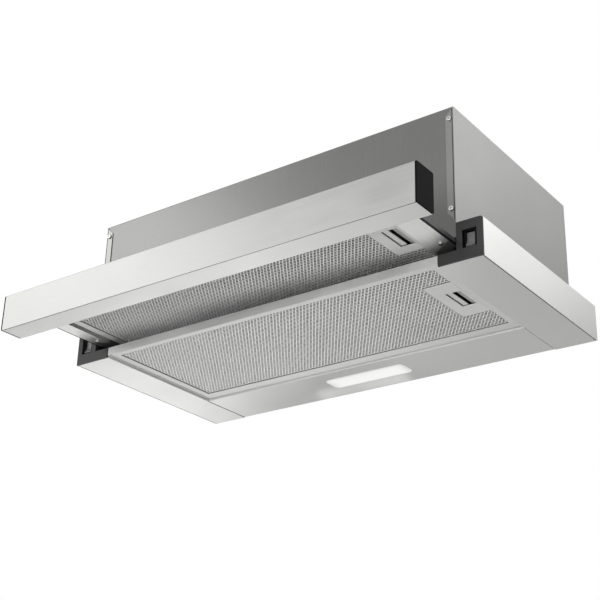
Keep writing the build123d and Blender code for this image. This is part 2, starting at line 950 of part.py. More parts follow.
def motor():
    can = rod_x(motor_left, motor_right, fan_y, fan_z, motor_radius)
    can = fillet(can.edges().filter_by(GeomType.CIRCLE), motor_round)
    can += rod_x(motor_left - motor_boss_length, motor_right + motor_boss_length, fan_y, fan_z, motor_boss)
    bore = shaft_radius + running
    return can - rod_x(motor_left - motor_boss_length, motor_right + motor_boss_length, fan_y, fan_z, bore)


def rubber_places():
    turns = [360 * turn / rubber_count for turn in range(rubber_count)]
    return [Pos(0, fan_y, fan_z) * Rot(turn, 0, 0) * Pos(0, 0, rubber_circle) for turn in turns]


def bracket_span():
    right = -scroll_half - rubber_length
    return right - bracket_thick, right


def motor_bracket():
    left, right = bracket_span()
    inner = motor_radius + seat_gap
    plate = rod_x(left, right, fan_y, fan_z, inner + bracket_ring)
    side = bracket_arm / 2
    for place in rubber_places():
        plate += place * slab(left, right, -side, side, -rubber_circle / 2, side)
    return plate - rod_x(left, right, fan_y, fan_z, inner)


def rubber_mounts():
    mount = rod_x(-scroll_half - rubber_length, -scroll_half, 0, 0, rubber_radius)
    return [place * mount for place in rubber_places()]


def capacitor():
    y = back_inner - seat_gap - capacitor_radius
    top = panel_top - capacitor_drop
    can = rod_z(capacitor_x, y, top - capacitor_length, top, capacitor_radius)
    return fillet(can.edges().filter_by(GeomType.CIRCLE), capacitor_round)


# Outlet collar and its two flaps

def outlet_flange():
    base = 2 * (collar_radius + collar_base_margin)
    plate = rounded_plate(0, outlet_y, hood_height, collar_floor, base, base, collar_base_margin)
    return plate - rod_z(0, outlet_y, hood_height, collar_floor, collar_inner - collar_ledge)


def outlet_collar():
    collar = rod_z(0, outlet_y, collar_floor, hood_height + collar_height, collar_radius)
    collar -= rod_z(0, outlet_y, collar_floor, hood_height + collar_height, collar_inner)
    reach = collar_inner + flap_pin_reach + seam
    for y in (outlet_y - flap_axis_offset, outlet_y + flap_axis_offset):
        collar -= rod_x(-reach, reach, y, flap_axis_z, flap_pin + running)
    return collar


def flap():
    low = collar_floor + seat_gap
    radius = collar_inner - flap_gap
    axis_y = outlet_y + flap_axis_offset
    disc = rod_z(0, outlet_y, low, low + flap_thick, radius)
    leaf = disc & slab(-radius, radius, axis_y, outlet_y + radius, low, low + flap_thick)
    barrel = rod_x(-radius + flap_gap, radius - flap_gap, axis_y, flap_axis_z, flap_barrel)
    reach = collar_inner + flap_pin_reach
    return leaf + barrel + rod_x(-reach, reach, axis_y, flap_axis_z, flap_pin)


def front_flap():
    return mirror(flap(), about=Plane.XZ.offset(-outlet_y))


# Supply

def cable_gland():
    y = hood_depth - gland_from_back
    neck = gland_neck
    top = hood_height + gland_flange_height
    gland = rod_z(gland_x, y, hood_height, top, gland_flange)
    gland += rod_z(gland_x, y, top, top + gland_collar_height, neck)
    gland += rod_z(gland_x, y, panel_top, hood_height, neck)
    gland += rod_z(gland_x, y, panel_top - gland_below, panel_top, gland_flange)
    return gland - rod_z(gland_x, y, panel_top - gland_below, top + gland_collar_height, gland_bore)


def terminal_box():
    right = terminal_x + terminal_width
    top = terminal_bottom + terminal_height
    wall = terminal_wall
    box = slab(terminal_x, right, terminal_front, back_inner, terminal_bottom, top)
    inner = slab(
        terminal_x + wall,
        right - wall,
        terminal_front,
        back_inner - wall,
        terminal_bottom + wall,
        top - wall,
    )
    return box - inner


def terminal_cover():
    right = terminal_x + terminal_width
    top = terminal_bottom + terminal_height
    return slab(terminal_x, right, terminal_front - terminal_lid, terminal_front, terminal_bottom, top)


# A lead is a round tube along straight runs joined by arcs.
def lead(points):
    path = FilletPolyline(points, radius=lead_bend)
    start = Plane(origin=path @ 0, z_dir=path % 0)
    return sweep(start * Circle(lead_radius), path=path)


def motor_lead():
    z = fan_z + motor_lead_rise
    turn = motor_left - motor_lead_turn - lead_bend
    rear = outlet_rear + scroll_wall + motor_lead_gap
    entry = terminal_x - lead_bend - motor_lead_gap
    middle = (terminal_front + back_inner) / 2
    points = [
        (motor_left, fan_y + motor_lead_rise, z),
        (turn, fan_y + motor_lead_rise, z),
        (turn, rear, z),
        (entry, rear, z),
        (entry, middle + lead_bend, z),
        (terminal_x, middle + lead_bend, z),
    ]
    return lead(points)


def switch_lead(side, from_back, entry):
    y = back_inner - from_back
    x = side * (window_x + 2 * blade_thick)
    start = cap_plate + switch_depth
    z = pivot_z
    return lead([(x, start, z), (x, y, z), (entry, y, z), (entry, y, terminal_bottom)])


def switch_leads():
    right = terminal_x + terminal_width / 2
    left = terminal_x + terminal_width / 4
    return switch_lead(1, lead_from_back, right), switch_lead(-1, lead_second_from_back, left)


os.makedirs("parts", exist_ok=True)

save("front_panel", front_panel())
save("side_panel_left", mirrored(side_panel()))
save("side_panel_right", side_panel())
save("back_panel", back_panel())
save("top_panel", top_panel())
save("panel_screws", *[panel_screw(x, z) for x, z in screw_places()])
save("side_trim_left", left_trim())
save("side_trim_right", side_trim())
save("rear_light_panel", light_panel())
save("front_cap_left", mirrored(front_cap()))
save("front_cap_right", front_cap())
save("switch_body_left", mirrored(switch_body()))
save("switch_body_right", switch_body())
save("rocker_left", mirrored(rocker()))
save("rocker_right", rocker())
save("guide_rails", mirrored(guide_rail()), guide_rail())
save("microswitch", microswitch())
save("microswitch_plunger", plunger())

save("light_lens", light_lens())
save("lamp_housing", lamp_housing())
save("led_board", led_board())
save("led_driver", led_driver())

save("filter_frame", fixed_frame())
save("filter_face", fixed.face())
save("filter_mesh", fixed.mesh())
save("filter_latch_plate", fixed.latch_plate())
save("filter_latch_housing", fixed.latch_housing())
save("filter_latch", fixed.slider(throat_half - seat_gap))
save("filter_latch_spring", fixed.leaf())

save("visor_front", visor_front())
save("visor_end_cap_left", mirrored(visor_end_cap()))
save("visor_end_cap_right", visor_end_cap())
save("visor_arm_left", left_arm())
save("visor_arm_right", right_arm())
save("visor_glides", mirrored(glide()), glide())
save("visor_rear_bar", rear_bar())
arm_screw_ys = (arm_screw_y, arm_screw_back)
save("visor_arm_screws", *[arm_screw(side, y) for side in (-1, 1) for y in arm_screw_ys])
save("visor_filter_frame", drawn_frame())
save("visor_filter_face", drawn.face())
save("visor_filter_mesh", drawn.mesh())
save("visor_filter_latch_plate", drawn.latch_plate())
save("visor_filter_latch_housing", drawn.latch_housing())
save("visor_filter_latch", drawn.slider(arm_inner - seat_gap))
save("visor_filter_latch_spring", drawn.leaf())

save("scroll_left", mirrored(scroll()))
save("scroll_right", scroll())
save("impeller", impeller())
save("rotor_shaft", rotor_shaft())
save("motor", motor())
save("motor_bracket", motor_bracket())
save("motor_rubber_mounts", *rubber_mounts())
save("capacitor", capacitor())

save("outlet_flange", outlet_flange())
save("outlet_collar", outlet_collar())
save("flap_rear", flap())
save("flap_front", front_flap())
save("cable_gland", cable_gland())
save("terminal_box", terminal_box())
save("terminal_lid", terminal_cover())
save("wiring", lamp_lead(), motor_lead(), *switch_leads())
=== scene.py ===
import bmesh
import bpy
import numpy as np
from mathutils import Euler, Matrix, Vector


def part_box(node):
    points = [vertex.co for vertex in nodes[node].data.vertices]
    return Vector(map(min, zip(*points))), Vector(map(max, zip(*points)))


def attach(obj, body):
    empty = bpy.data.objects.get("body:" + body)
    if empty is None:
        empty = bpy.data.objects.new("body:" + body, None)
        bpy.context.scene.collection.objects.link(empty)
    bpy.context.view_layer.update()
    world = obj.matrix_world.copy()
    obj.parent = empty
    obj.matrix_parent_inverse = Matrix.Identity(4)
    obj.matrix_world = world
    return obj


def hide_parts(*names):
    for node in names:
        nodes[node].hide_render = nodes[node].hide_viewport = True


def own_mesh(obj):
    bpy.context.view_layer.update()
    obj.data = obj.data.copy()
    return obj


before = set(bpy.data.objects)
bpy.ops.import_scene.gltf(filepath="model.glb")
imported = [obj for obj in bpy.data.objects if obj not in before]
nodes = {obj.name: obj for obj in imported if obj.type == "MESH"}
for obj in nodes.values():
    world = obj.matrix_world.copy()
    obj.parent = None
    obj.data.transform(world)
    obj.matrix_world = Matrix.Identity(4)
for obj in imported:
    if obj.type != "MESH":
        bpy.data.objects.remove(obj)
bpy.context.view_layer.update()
print("frame loaded,", len(nodes), "nodes")

mm = 0.001  # sizes are in mm, but places and sizes in the camera and the studio are in metres

# the camera: the photograph's station point, worked out from the hood's own edges
photoCamera = {
    "eye": (0.84473, -1.17613, -0.76529),
    "turned": (114.01348, -1.49373, 36.42383),  # degrees about x, y and z
    "lens": 74.555,  # mm, as the sensor is
    "sensor": 36.0,
    "clip": (0.01, 50.0),
}


# a camera looks along its own -z with y up, and is turned about x, y and z from there
def makeCamera(own):
    data = bpy.data.cameras.new("photoCamera")
    data.lens, data.sensor_width = own["lens"], own["sensor"]
    data.clip_start, data.clip_end = own["clip"]
    camera = bpy.data.objects.new("photoCamera", data)
    bpy.context.scene.collection.objects.link(camera)
    turn = Euler(np.radians(own["turned"]).tolist()).to_matrix().to_4x4()
    camera.matrix_world = Matrix.Translation(own["eye"]) @ turn
    bpy.context.scene.camera = camera


makeCamera(photoCamera)
bpy.context.scene.view_settings.view_transform = "Standard"
print("camera set")


# colours are written as sRGB hex and used as linear light, by the sRGB standard's curve
def linear(hexText):
    raw = np.array([int(hexText[i:i + 2], 16) for i in (1, 3, 5)]) / 255.0
    light = np.where(raw <= 0.04045, raw / 12.92, ((raw + 0.055) / 1.055) ** 2.4)
    return (*light.tolist(), 1.0)


# one node: settings are attributes, inputs are values or sockets to link, stops are a ramp's two colours
# with their places
def put(tree, kind, inputs=None, stops=None, **settings):
    node = tree.nodes.new(kind)
    for key, value in settings.items():
        setattr(node, key, value)
    for key, value in (inputs or {}).items():
        if isinstance(value, bpy.types.NodeSocket):
            tree.links.new(value, node.inputs[key])
        else:
            node.inputs[key].default_value = value
    if stops:
        for element, (at, colour) in zip(node.color_ramp.elements, stops):
            element.position, element.color = at, linear(colour)
    return node


# a material with an empty tree, and the piece's own coordinates that its patterns are laid on
def newMaterial(name):
    material = bpy.data.materials.new(name)
    material.use_nodes = True
    tree = material.node_tree
    tree.nodes.clear()
    place = put(tree, "ShaderNodeTexCoord").outputs["Object"]
    return material, tree, place


# what all ground and rolled sheets share; a band is the stretch of a noise's values that is drawn out to
# the whole range of tone or gloss
grinding = {
    "detail": 3.0,
    "raggedness": 0.6,
    "cloud": 71.4,
    "cloudDetail": 2.0,
    "cloudShare": 0.5,
    "toneBand": (0.36, 0.64),
    "glossBand": (0.35, 0.65),
    "depth": 0.2,
}


# Sheet ground with a belt or rolled: long fine scratches one way, so colour, gloss and height all follow one
# stretched noise, and slow clouds in tone and gloss. Real scratches are about 0.2 mm wide, and are drawn
# wider here so that they show. A shade is painted shade: it multiplies the tone by its share where the
# distance along its way is full, by 1 where it is none, and smoothly between.
def brushedMetal(name, look):
    material, tree, place = newMaterial(name)
    scale = [1.0 / (look["scratch"] * mm)] * 3
    scale["xyz".index(look["along"])] = 1.0 / (look["length"] * mm)
    lines = put(tree, "ShaderNodeMapping", {"Vector": place, "Scale": scale})
    fine = put(tree, "ShaderNodeTexNoise", {
        "Vector": lines.outputs["Vector"], "Scale": 1.0,
        "Detail": grinding["detail"], "Roughness": grinding["raggedness"]})
    clouds = put(tree, "ShaderNodeTexNoise", {
        "Vector": place, "Scale": 1.0 / (grinding["cloud"] * mm), "Detail": grinding["cloudDetail"]})
    mixed = put(tree, "ShaderNodeMix", {
        "Factor": grinding["cloudShare"], "A": fine.outputs["Fac"], "B": clouds.outputs["Fac"]},
        data_type="FLOAT")
    tone = put(tree, "ShaderNodeValToRGB", {"Fac": mixed.outputs[0]},
               stops=zip(grinding["toneBand"], (look["dark"], look["light"])))
    base = tone.outputs["Color"]
    if "shade" in look:
        shade = look["shade"]
        along = put(tree, "ShaderNodeVectorMath", {0: place, 1: shade["way"]}, operation="DOT_PRODUCT")
        deep = put(tree, "ShaderNodeMapRange", {
            "Value": along.outputs["Value"], "From Min": shade["full"] * mm, "From Max": shade["none"] * mm,
            "To Min": shade["share"], "To Max": 1.0}, interpolation_type="SMOOTHSTEP")
        shaded = put(tree, "ShaderNodeVectorMath", {
            0: base, 1: deep.outputs["Result"]}, operation="MULTIPLY")
        base = shaded.outputs["Vector"]
    low, high = grinding["glossBand"]
    gloss = put(tree, "ShaderNodeMapRange", {
        "Value": mixed.outputs[0], "From Min": low, "From Max": high,
        "To Min": look["rough"] - look["spread"], "To Max": look["rough"] + look["spread"]})
    bump = put(tree, "ShaderNodeBump", {
        "Height": fine.outputs["Fac"], "Strength": look["relief"], "Distance": grinding["depth"] * mm})
    shader = put(tree, "ShaderNodeBsdfPrincipled", {
        "Base Color": base, "Roughness": gloss.outputs["Result"], "Normal": bump.outputs["Normal"],
        "Metallic": look["metal"]})
    put(tree, "ShaderNodeOutputMaterial", {"Surface": shader.outputs["BSDF"]})
    return material


# what all moulded, cast and coated skins share; the depth is a share of the grain's size
graining = {
    "detail": 3.0,
    "raggedness": 0.55,
    "cloud": 111.1,
    "cloudDetail": 2.0,
    "pitShare": 0.35,
    "toneBand": (0.36, 0.64),
    "glossBand": (0.3, 0.7),
    "spread": 0.06,
    "depth": 0.2,
}


# A moulded, cast or coated skin: a fine even grain of pits in height and gloss, and slow clouds in tone.
# Real pits are about 0.1 mm across, and are drawn larger here so that they show.
def grainedSkin(name, look):
    material, tree, place = newMaterial(name)
    pits = put(tree, "ShaderNodeTexNoise", {
        "Vector": place, "Scale": 1.0 / (look["grain"] * mm),
        "Detail": graining["detail"], "Roughness": graining["raggedness"]})
    clouds = put(tree, "ShaderNodeTexNoise", {
        "Vector": place, "Scale": 1.0 / (graining["cloud"] * mm), "Detail": graining["cloudDetail"]})
    mixed = put(tree, "ShaderNodeMix", {
        "Factor": graining["pitShare"], "A": clouds.outputs["Fac"], "B": pits.outputs["Fac"]},
        data_type="FLOAT")
    tone = put(tree, "ShaderNodeValToRGB", {"Fac": mixed.outputs[0]},
               stops=zip(graining["toneBand"], (look["dark"], look["light"])))
    low, high = graining["glossBand"]
    gloss = put(tree, "ShaderNodeMapRange", {
        "Value": pits.outputs["Fac"], "From Min": low, "From Max": high,
        "To Min": look["rough"] - graining["spread"], "To Max": look["rough"] + graining["spread"]})
    bump = put(tree, "ShaderNodeBump", {
        "Height": pits.outputs["Fac"], "Strength": look["relief"],
        "Distance": graining["depth"] * look["grain"] * mm})
    shader = put(tree, "ShaderNodeBsdfPrincipled", {
        "Base Color": tone.outputs["Color"], "Roughness": gloss.outputs["Result"],
        "Normal": bump.outputs["Normal"], "Metallic": look.get("metal", 0.0),
        "Specular IOR Level": look.get("shine", 0.5)})
    put(tree, "ShaderNodeOutputMaterial", {"Surface": shader.outputs["BSDF"]})
    return material


waveRate = 20.0  # radians per metre that Blender's wave texture turns through at a scale of 1


# Layers of expanded aluminium foil: strands crossing at the pitch, with dark gaps between them.
def strandedFoil(name, look):
    material, tree, place = newMaterial(name)
    bands = []
    for turn in (look["turn"], -look["turn"]):
        lay = put(tree, "ShaderNodeMapping", {"Vector": place, "Rotation": (0.0, 0.0, turn)})
        wave = put(tree, "ShaderNodeTexWave", {
            "Vector": lay.outputs["Vector"], "Scale": 2 * np.pi / (waveRate * look["pitch"] * mm),
            "Distortion": look["waver"], "Detail": look["detail"]}, wave_type="BANDS", bands_direction="X")
        bands.append(wave.outputs["Fac"])
    cross = put(tree, "ShaderNodeMath", {0: bands[0], 1: bands[1]}, operation="MAXIMUM")
    tone = put(tree, "ShaderNodeValToRGB", {"Fac": cross.outputs[0]},
               stops=zip(look["toneBand"], (look["dark"], look["light"])))
    bump = put(tree, "ShaderNodeBump", {
        "Height": cross.outputs[0], "Strength": look["relief"], "Distance": look["depth"] * mm})
    shader = put(tree, "ShaderNodeBsdfPrincipled", {
        "Base Color": tone.outputs["Color"], "Normal": bump.outputs["Normal"],
        "Metallic": look["metal"], "Roughness": look["rough"]})
    put(tree, "ShaderNodeOutputMaterial", {"Surface": shader.outputs["BSDF"]})
    return material


# Opal acrylic lit from behind: brightest over the row of diodes, greyer towards its rim, and the glow is
# drawn out in faint streaks along the lamp. With x and y from -1 to 1 over the lens, the way to the rim is
# the larger of x to the endPower and y to the sidePower, and streaks says how many there are to a unit.
def litOpal(name, look):
    material, tree, place = newMaterial(name)
    low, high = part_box("light_lens")
    middle, half = (low + high) / 2, (high - low) / 2
    local = put(tree, "ShaderNodeMapping", {
        "Vector": place, "Location": (-middle.x / half.x, -middle.y / half.y, 0.0),
        "Scale": (1.0 / half.x, 1.0 / half.y, 0.0)})
    apart = put(tree, "ShaderNodeSeparateXYZ", {"Vector": local.outputs["Vector"]})
    endward = put(tree, "ShaderNodeMath", {0: apart.outputs["X"], 1: look["endPower"]}, operation="POWER")
    sideward = put(tree, "ShaderNodeMath", {0: apart.outputs["Y"], 1: look["sidePower"]}, operation="POWER")
    rimward = put(tree, "ShaderNodeMath", {
        0: endward.outputs[0], 1: sideward.outputs[0]}, operation="MAXIMUM")
    drawnOut = put(tree, "ShaderNodeMapping", {"Vector": local.outputs["Vector"], "Scale": look["streaks"]})
    streak = put(tree, "ShaderNodeTexNoise", {
        "Vector": drawnOut.outputs["Vector"], "Scale": 1.0, "Detail": look["streakDetail"]})
    mixed = put(tree, "ShaderNodeMix", {
        "Factor": look["streakShare"], "A": rimward.outputs[0], "B": streak.outputs["Fac"]},
        data_type="FLOAT")
    glow = put(tree, "ShaderNodeValToRGB", {"Fac": mixed.outputs[0]},
               stops=zip(look["glowBand"], (look["core"], look["rim"])))
    shader = put(tree, "ShaderNodeBsdfPrincipled", {
        "Emission Color": glow.outputs["Color"], "Emission Strength": look["strength"],
        "Base Color": linear(look["body"]), "Roughness": look["rough"]})
    put(tree, "ShaderNodeOutputMaterial", {"Surface": shader.outputs["BSDF"]})
    return material


# Looks and shades that several finishes share. In a look, dark and light are the ends of the tone, spread is
# how far the gloss strays from rough, scratch, length, grain, pitch and depth are sizes, relief is the
# strength of the bump, shine is the specular level, and turn is an angle in radians.
groundStainless = {"dark": "#a3a3a1", "light": "#ababa9", "rough": 0.36, "spread": 0.05, "metal": 1.0,
                   "scratch": 1.4, "length": 90.0, "relief": 0.05}
lacqueredSteel = {"rough": 0.27, "spread": 0.008, "metal": 1.0,
                  "along": "z", "scratch": 3.0, "length": 400.0, "relief": 0.0015}
zincPlate = {"dark": "#b8b8b6", "light": "#c8c8c6", "rough": 0.42, "spread": 0.05, "metal": 0.8,
             "along": "y", "scratch": 4.0, "length": 30.0, "relief": 0.08}
rolledAluminium = {"spread": 0.05, "metal": 0.9,
                   "along": "x", "scratch": 2.5, "length": 60.0, "relief": 0.06}
# painted shade: the tone darkens towards the canopy, below the visor
paintedShadeFoot = {"way": (0.0, 0.0, 1.0), "full": -140.0}
# painted shade: the arms' tone goes black on a slant where their tail runs into the shade of the caps
paintedShadeTail = {"full": 33.0, "none": 27.0, "share": 0.35}

# what each finish is: its maker function, its look, and the frame nodes that wear it
finishes = {
    # stainless sheet ground along the hood's width: a soft sheen with long faint lines
    "stainlessLong": {
        "make": brushedMetal, "name": "brushedStainlessLong",
        "look": {**groundStainless, "along": "x"},
        "on": ["visor_front", "rear_light_panel"]},
    # the same sheet ground from front to back
    "stainlessDeep": {
        "make": brushedMetal, "name": "brushedStainlessDeep",
        "look": {**groundStainless, "along": "y"},
        "on": ["side_trim_left", "side_trim_right"]},
    # steel under smooth lacquer: clear reflections, hardly streaked, with painted shade that darkens it
    # towards the canopy
    "frontCoat": {
        "make": brushedMetal, "name": "greyLacqueredSteel",
        "look": {**lacqueredSteel, "dark": "#727271", "light": "#757574",
                 "shade": {**paintedShadeFoot, "none": -75.0, "share": 0.68}},
        "on": ["front_panel"]},
    # the side panels' front-facing flange faces: their own sheet given a lighter, glossier tone as painted
    # light, with the same painted shade towards the canopy
    "flangePaintedLight": {
        "make": brushedMetal, "name": "paintedLightFlange",
        "look": {**lacqueredSteel, "dark": "#868684", "light": "#8a8a88",
                 "shade": {**paintedShadeFoot, "none": -80.0, "share": 0.72}},
        "on": []},
    # painted shade: a matt black without a highlight, laid where the seams' gaps and the filters' slits lie
    # in shade
    "seamPaintedShade": {
        "make": grainedSkin, "name": "blackPaintedSeamShade",
        "look": {"dark": "#181818", "light": "#202020", "rough": 0.7, "shine": 0.1,
                 "grain": 0.6, "relief": 0.1},
        "on": []},
    # a cut stainless edge with painted light: pale, even and satin, lighter than the sheet it belongs to
    "edgePaintedLight": {
        "make": grainedSkin, "name": "paintedLightStainlessEdge",
        "look": {"dark": "#c2c2c0", "light": "#cacac8", "rough": 0.6, "metal": 0.3,
                 "grain": 0.8, "relief": 0.05},
        "on": []},
    # steel coated with silver powder: an even grey with one broad dull highlight
    "sideCoat": {
        "make": grainedSkin, "name": "silverCoatedSteel",
        "look": {"dark": "#727270", "light": "#787876", "rough": 0.42, "metal": 0.7,
                 "grain": 0.9, "relief": 0.02},
        "on": ["side_panel_left", "side_panel_right", "back_panel", "top_panel"]},
    # zinc plated sheet: bright grey, a little cloudy, with short streaks
    "zincSheet": {
        "make": brushedMetal, "name": "zincPlatedSheet",
        "look": zincPlate,
        "on": ["visor_rear_bar", "motor_bracket", "rotor_shaft"]},
    # the arms' zinc, with painted shade that turns it black on a slant where the tail runs into its cap
    "zincArmLeft": {
        "make": brushedMetal, "name": "zincSheetPaintedShadeTailLeft",
        "look": {**zincPlate, "shade": {**paintedShadeTail, "way": (-0.69, 1.0, 0.0)}},
        "on": ["visor_arm_left"]},
    "zincArmRight": {
        "make": brushedMetal, "name": "zincSheetPaintedShadeTailRight",
        "look": {**zincPlate, "shade": {**paintedShadeTail, "way": (0.69, 1.0, 0.0)}},
        "on": ["visor_arm_right"]},
    # a plated screw head: small and bright, with sharp glints
    "zincScrew": {
        "make": grainedSkin, "name": "zincPlatedScrew",
        "look": {"dark": "#b6b6b4", "light": "#ccccca", "rough": 0.25, "metal": 1.0,
                 "grain": 0.4, "relief": 0.1},
        "on": ["panel_screws", "visor_arm_screws"]},
    # moulded ABS, finely eroded: dark grey with hardly any gloss
    "capGrey": {
        "make": grainedSkin, "name": "darkGreyMouldedAbs",
        "look": {"dark": "#2c2c2c", "light": "#343434", "rough": 0.50, "shine": 0.25,
                 "grain": 0.7, "relief": 0.15},
        "on": ["front_cap_left", "front_cap_right"]},
    # the visor's caps in the same texture: black without a shine
    "capBlack": {
        "make": grainedSkin, "name": "blackMouldedAbs",
        "look": {"dark": "#0a0a0a", "light": "#0e0e0e", "rough": 0.55, "shine": 0.02,
                 "grain": 0.7, "relief": 0.15},
        "on": ["visor_end_cap_left", "visor_end_cap_right"]},
    # acetal: a smooth mid grey with a waxy, weak highlight
    "glideGrey": {
        "make": grainedSkin, "name": "greyAcetal",
        "look": {"dark": "#585858", "light": "#606060", "rough": 0.5, "shine": 0.2,
                 "grain": 0.7, "relief": 0.1},
        "on": []},
    # polyamide from a polished mould: grey, with a clear highlight on its bend
    "rockerGrey": {
        "make": grainedSkin, "name": "polishedGreyPolyamide",
        "look": {"dark": "#525252", "light": "#626262", "rough": 0.3, "grain": 0.5, "relief": 0.05},
        "on": ["rocker_left", "rocker_right"]},
    # moulded polyamide: nearly black, with a faint dull highlight
    "switchBlack": {
        "make": grainedSkin, "name": "blackPolyamide",
        "look": {"dark": "#070707", "light": "#0c0c0c", "rough": 0.6, "shine": 0.1,
                 "grain": 0.5, "relief": 0.12},
        "on": ["switch_body_left", "switch_body_right", "microswitch", "microswitch_plunger", "cable_gland",
               "guide_rails", "visor_glides", "filter_latch_housing", "visor_filter_latch_housing"]},
    # aluminium as it leaves the rolls: pale and soft, with faint lines
    "millAluminium": {
        "make": brushedMetal, "name": "millAluminium",
        "look": {**rolledAluminium, "dark": "#c0c0bf", "light": "#cccccb", "rough": 0.62},
        "on": ["filter_frame", "visor_filter_frame"]},
    # the punched faces' aluminium: lighter, so that the bars stand out from the holes
    "faceAluminium": {
        "make": brushedMetal, "name": "punchedAluminium",
        "look": {**rolledAluminium, "dark": "#dededd", "light": "#e8e8e7", "rough": 0.6},
        "on": ["filter_face", "visor_filter_face"]},
    # raw strands behind the holes, darkened to a dark grey as painted shade, with a dull glint
    "meshStrandPaintedShade": {
        "make": grainedSkin, "name": "rawAluminiumStrandPaintedShade",
        "look": {"dark": "#444443", "light": "#5a5a59", "rough": 0.5, "metal": 0.8,
                 "grain": 1.0, "relief": 0.1},
        "on": []},
    # stacked foil: grey strands that cross over black gaps, the black being painted shade of the pack's
    # depth
    "expandedFoil": {
        "make": strandedFoil, "name": "expandedFoilPaintedShade",
        "look": {"dark": "#121212", "light": "#565655", "rough": 0.6, "metal": 0.8, "toneBand": (0.45, 0.95),
                 "pitch": 3.0, "turn": 0.65, "waver": 1.5, "detail": 2.0, "relief": 0.6, "depth": 0.8},
        "on": ["filter_mesh", "visor_filter_mesh"]},
    # moulded ABS: a light satin grey
    "latchGrey": {
        "make": grainedSkin, "name": "lightGreyMouldedAbs",
        "look": {"dark": "#bdbdbb", "light": "#c9c9c7", "rough": 0.42, "grain": 0.8, "relief": 0.08},
        "on": ["filter_latch_plate", "filter_latch", "visor_filter_latch_plate", "visor_filter_latch"]},
    # the ramp under the finger tab: the same moulding, a middle grey that is painted shade of the slot it
    # lies in
    "rampPaintedShade": {
        "make": grainedSkin, "name": "midGreyAbsPaintedShade",
        "look": {"dark": "#868685", "light": "#929291", "rough": 0.5, "grain": 0.8, "relief": 0.08},
        "on": []},
    # rolled spring strip: a cool grey with short streaks along the leaf
    "springStrip": {
        "make": brushedMetal, "name": "springSteelStrip",
        "look": {"dark": "#8e8e8c", "light": "#a4a4a2", "rough": 0.3, "spread": 0.05, "metal": 1.0,
                 "along": "x", "scratch": 1.0, "length": 20.0, "relief": 0.1},
        "on": ["filter_latch_spring", "visor_filter_latch_spring"]},
    # opal acrylic with the lamp on: a white core that greys towards the rim
    "lens": {
        "make": litOpal, "name": "litOpalAcrylic",
        "look": {"core": "#f2f2f0", "rim": "#b4b4b0", "body": "#82827f", "strength": 0.70, "rough": 0.35,
                 "endPower": 4.0, "sidePower": 2.0, "glowBand": (0.30, 0.78),
                 "streaks": (0.6, 5.0, 1.0), "streakDetail": 2.0, "streakShare": 0.2},
        "on": ["light_lens"]},
    # moulded ABS: a warm satin white
    "lampWhite": {
        "make": grainedSkin, "name": "whiteMouldedAbs",
        "look": {"dark": "#d6d6d2", "light": "#e2e2de", "rough": 0.45, "grain": 0.8, "relief": 0.1},
        "on": ["lamp_housing", "led_driver", "terminal_box", "terminal_lid"]},
    # solder mask on a board: a smooth, slightly green white
    "boardWhite": {
        "make": grainedSkin, "name": "whiteSolderMask",
        "look": {"dark": "#cfd6cf", "light": "#dde3dd", "rough": 0.35, "grain": 1.2, "relief": 0.05},
        "on": ["led_board"]},
    # moulded polypropylene: dark grey and a little waxy
    "blowerGrey": {
        "make": grainedSkin, "name": "darkGreyPolypropylene",
        "look": {"dark": "#2c2d2e", "light": "#37383a", "rough": 0.5, "grain": 1.0, "relief": 0.15},
        "on": ["scroll_left", "scroll_right", "impeller", "outlet_flange", "outlet_collar",
               "flap_front", "flap_rear"]},
    # a drawn and zinc plated can: grey with streaks along its axis
    "motorCan": {
        "make": brushedMetal, "name": "zincPlatedMotorCan",
        "look": {"dark": "#8c8c8a", "light": "#9c9c9a", "rough": 0.4, "spread": 0.05, "metal": 0.9,
                 "along": "x", "scratch": 3.0, "length": 25.0, "relief": 0.08},
        "on": ["motor"]},
    # a moulded polypropylene can: ivory white and smooth
    "capacitorWhite": {
        "make": grainedSkin, "name": "whitePolypropylene",
        "look": {"dark": "#d8d8d2", "light": "#e4e4de", "rough": 0.35, "grain": 0.8, "relief": 0.08},
        "on": ["capacitor"]},
    # moulded rubber: black and matt
    "mountRubber": {
        "make": grainedSkin, "name": "blackRubber",
        "look": {"dark": "#141414", "light": "#1c1c1c", "rough": 0.75, "grain": 0.6, "relief": 0.2},
        "on": ["motor_rubber_mounts"]},
    # drawn PVC: an even grey with a soft highlight
    "leadSheath": {
        "make": grainedSkin, "name": "greyPvcSheath",
        "look": {"dark": "#8f8f8f", "light": "#9d9d9d", "rough": 0.5, "grain": 0.5, "relief": 0.1},
        "on": ["wiring"]},
}
made = {}
for finish, own in finishes.items():
    made[finish] = own["make"](own["name"], own["look"])
    for name in own["on"]:
        nodes[name].data.materials.clear()
        nodes[name].data.materials.append(made[finish])
print("finishes:", len(made), "on", sum(len(own["on"]) for own in finishes.values()), "nodes")


# a node's lowest and highest corners in mm
def boxInMm(node):
    return [np.array(corner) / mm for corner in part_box(node)]


